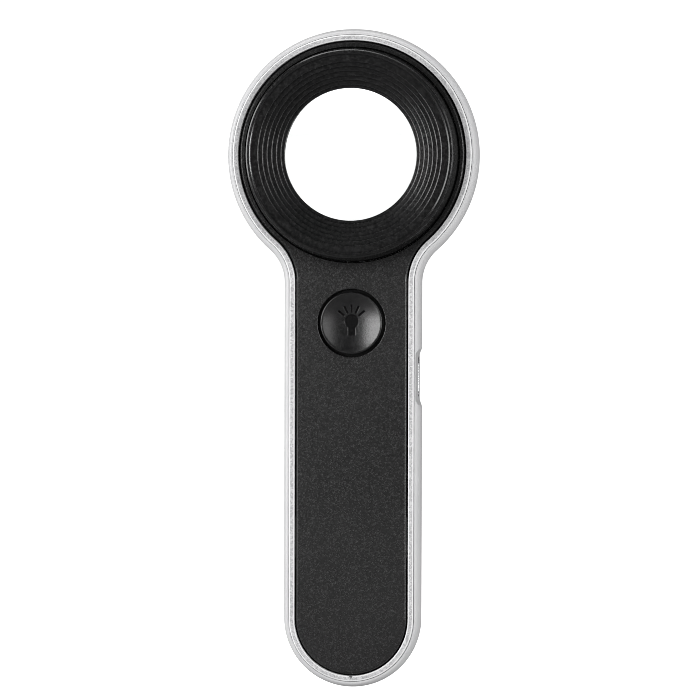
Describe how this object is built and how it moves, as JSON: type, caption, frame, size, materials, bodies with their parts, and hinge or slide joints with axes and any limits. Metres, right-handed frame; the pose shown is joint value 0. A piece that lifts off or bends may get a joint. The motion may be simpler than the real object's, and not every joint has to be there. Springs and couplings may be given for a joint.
{
  "type": "lighted low vision magnifier",
  "caption": "Hand-held low vision magnifier: a white case with a round head and a long handle, a black inlay, a stepped lens hood, a dished light button and a side charging port.",
  "frame": {"origin": "middle of the outline's length and width, on the plane of the flat back", "axes": "+Z from the handle to the head, -Y from the flat back towards the eye, +X to the right of someone looking through the lens"},
  "size_m": [0.0568, 0.0229, 0.148],
  "materials": {
    "white_shell": "smooth moulded, soft gloss",
    "white_frame": "fine moulded grain",
    "black_panel": "fine spark-eroded grain",
    "black_hood": "smooth, satin black",
    "black_button": "satin black, fine grain",
    "clear_lens": "polished clear acrylic",
    "led_epoxy": "clear epoxy",
    "reflector_white": "bright satin reflector",
    "steel": "nickel plated",
    "board_green": "green solder mask",
    "board_white": "white solder mask",
    "component_black": "moulded component body",
    "capacitor_tan": "fired ceramic",
    "cell_foil": "laminated foil pouch",
    "foam_grey": "closed-cell foam",
    "wire_red": "red insulation",
    "wire_black": "black insulation"
  },
  "bodies": {
    "magnifier": {"rear_shell": "white_shell", "front_shell": "white_frame", "front_panel": "black_panel", "lens_hood": "black_hood", "lens": "clear_lens", "lens_retainer": "black_hood", "led_reflector": "reflector_white", "led_left": "led_epoxy", "led_right": "led_epoxy", "led_board": "board_white", "switch_body": "component_black", "switch_spring": "steel", "main_board": "board_green", "charge_controller": "component_black", "led_resistor": "component_black", "charge_capacitor": "capacitor_tan", "usb_port_shell": "steel", "usb_port_tongue": "component_black", "battery_cell": "cell_foil", "battery_foam_pad": "foam_grey", "battery_protection_board": "board_green", "battery_wire_negative": "wire_black", "battery_wire_positive": "wire_red", "led_wire_negative": "wire_black", "led_wire_positive": "wire_red", "case_screw_top": "steel", "case_screw_neck_left": "steel", "case_screw_neck_right": "steel", "case_screw_end": "steel", "board_screw_left": "steel", "board_screw_right": "steel", "hood_screw_1": "steel", "hood_screw_2": "steel", "hood_screw_3": "steel"},
    "button": {"push_button": "black_button", "switch_plunger": "board_white"}
  },
  "joints": [
    {"name": "button_press", "type": "slide", "parent": "magnifier", "child": "button", "axis": [0, 1, 0], "range_m": [0, 0.0012], "stiffness_N_per_m": 700, "springref_m": -0.0008}
  ]
}
